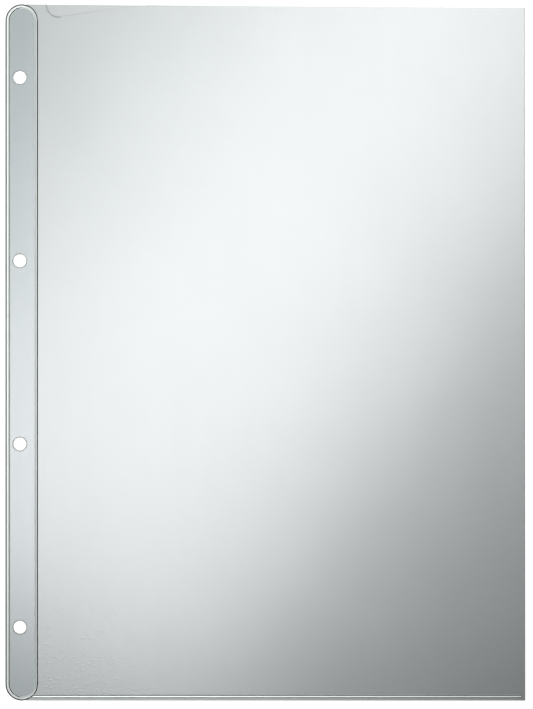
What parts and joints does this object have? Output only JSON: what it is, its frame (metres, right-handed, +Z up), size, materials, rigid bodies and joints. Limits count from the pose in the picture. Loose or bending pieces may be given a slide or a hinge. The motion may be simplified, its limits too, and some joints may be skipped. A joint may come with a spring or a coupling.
{
  "type": "sheet protector",
  "caption": "Clear punched pocket of folded film, welded along the bottom and round a punched strip, open at the top. The page turns on its edge and the front lifts.",
  "frame": {"origin": "on the table under the middle of the pocket", "axes": "+X from the punched edge to the fold, +Y from the bottom weld to the open mouth, +Z up off the table"},
  "size_m": [0.227, 0.304, 0.0009],
  "materials": {
    "clear_film": "glossy soft film with a faint orange peel",
    "melted_film": "glossy melted bead",
    "stiff_strip": "smooth, slightly milky"
  },
  "bodies": {
    "binding_edge": {"edge_back_film": "clear_film", "reinforcing_strip": "stiff_strip", "edge_front_film": "clear_film", "edge_weld": "melted_film", "bend_back_film": "clear_film", "bend_front_film": "clear_film"},
    "pocket_back": {"back_wall": "clear_film", "fold_back_film": "clear_film", "fold_front_film": "clear_film", "bottom_seam": "melted_film", "front_notch_film": "clear_film", "front_fold_film": "clear_film"},
    "pocket_front": {"front_wall": "clear_film"}
  },
  "joints": [
    {"name": "page_turn", "type": "hinge", "parent": "binding_edge", "child": "pocket_back", "pos_m": [-0.0993, 0, 0.00069], "axis": [0, -1, 0], "range_deg": [0, 165], "deforming": ["bend_back_film", "bend_front_film"]},
    {"name": "mouth_open", "type": "hinge", "parent": "pocket_back", "child": "pocket_front", "pos_m": [0, -0.1492, 0.00057], "axis": [1, 0, 0], "range_deg": [0, 3], "deforming": ["front_notch_film", "front_fold_film"]}
  ]
}
